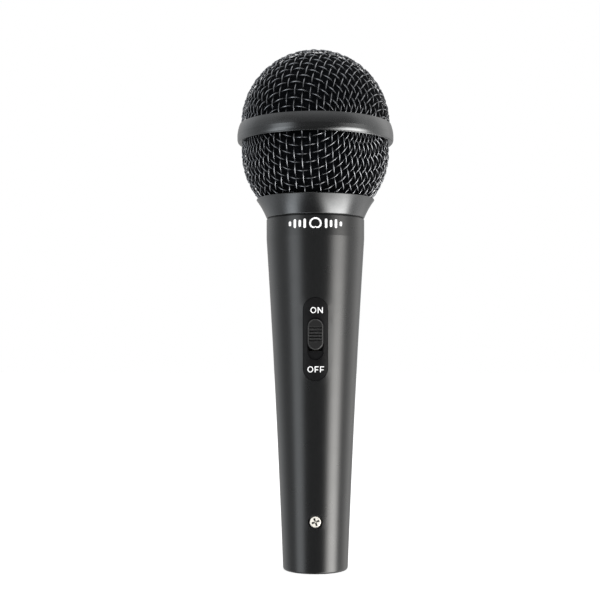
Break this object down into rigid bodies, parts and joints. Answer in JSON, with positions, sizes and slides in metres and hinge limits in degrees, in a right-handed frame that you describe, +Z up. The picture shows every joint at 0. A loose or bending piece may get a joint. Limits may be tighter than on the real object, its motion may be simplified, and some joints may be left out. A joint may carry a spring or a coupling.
{
  "type": "dynamic microphone",
  "caption": "Handheld dynamic vocal microphone: woven ball grille with a band round its middle, tapered painted metal handle, slide switch and a three-pole plug socket in its end.",
  "frame": {"origin": "centre of the handle's open end, on the microphone's axis", "axes": "+Z runs up the handle to the grille, -Y is the side with the switch, +X is to the right when the switch is seen from the front"},
  "size_m": [0.053, 0.053, 0.176],
  "materials": {
    "handle_paint": "satin",
    "trim_paint": "satin",
    "grille_wire": "satin",
    "foam_black": "matte",
    "plate_plastic": "matte",
    "button_plastic": "satin",
    "screw_nickel": "polished",
    "insert_metal": "satin",
    "contact_metal": "polished",
    "insert_plastic": "matte",
    "cartridge_plastic": "matte",
    "cover_metal": "satin",
    "cloth": "matte",
    "film": "gloss",
    "copper_wire": "gloss",
    "magnet_nickel": "polished",
    "zinc_steel": "satin",
    "black_steel": "satin",
    "felt": "matte",
    "mount_rubber": "matte",
    "board_brown": "satin",
    "lead_red": "satin",
    "lead_white": "satin",
    "lead_green": "satin"
  },
  "bodies": {
    "handle": {"cartridge_cover": "cover_metal", "front_cloth": "cloth", "top_plate": "zinc_steel", "pole_piece": "zinc_steel", "magnet": "magnet_nickel", "yoke_cup": "zinc_steel", "cartridge_frame": "cartridge_plastic", "rear_chamber": "cartridge_plastic", "chamber_felt": "felt", "terminal_board": "board_brown", "solder_terminals": "contact_metal", "shock_mount": "mount_rubber", "handle_body": "handle_paint", "switch_plate": "plate_plastic", "switch_frame": "black_steel", "switch_base": "insert_plastic", "switch_terminals": "contact_metal", "switch_screws": "screw_nickel", "connector_shell": "insert_metal", "connector_insulator": "insert_plastic", "contact_pin_1": "contact_metal", "contact_pin_2": "contact_metal", "contact_pin_3": "contact_metal", "ground_clip": "contact_metal", "connector_screw": "screw_nickel", "capsule_lead_hot": "lead_red", "capsule_lead_cold": "lead_white", "switch_lead_hot": "lead_red", "ground_lead": "lead_green"},
    "grille_head": {"upper_mesh": "grille_wire", "lower_mesh": "grille_wire", "equator_band": "trim_paint", "grille_collar": "trim_paint", "foam_dome": "foam_black", "foam_bowl": "foam_black"},
    "switch_slide": {"switch_button": "button_plastic", "switch_slider": "insert_plastic", "contact_bridge": "contact_metal"},
    "moving_coil": {"diaphragm": "film", "voice_coil": "copper_wire"}
  },
  "joints": [
    {"name": "grille_lift", "type": "slide", "parent": "handle", "child": "grille_head", "axis": [0, 0, 1], "range_m": [0, 0.045]},
    {"name": "switch_travel", "type": "slide", "parent": "handle", "child": "switch_slide", "axis": [0, -0.0547, 0.9985], "range_m": [-0.0032, 0]},
    {"name": "coil_travel", "type": "slide", "parent": "handle", "child": "moving_coil", "axis": [0, 0, 1], "range_m": [-0.0002, 0.0002], "stiffness_N_per_m": 300}
  ]
}
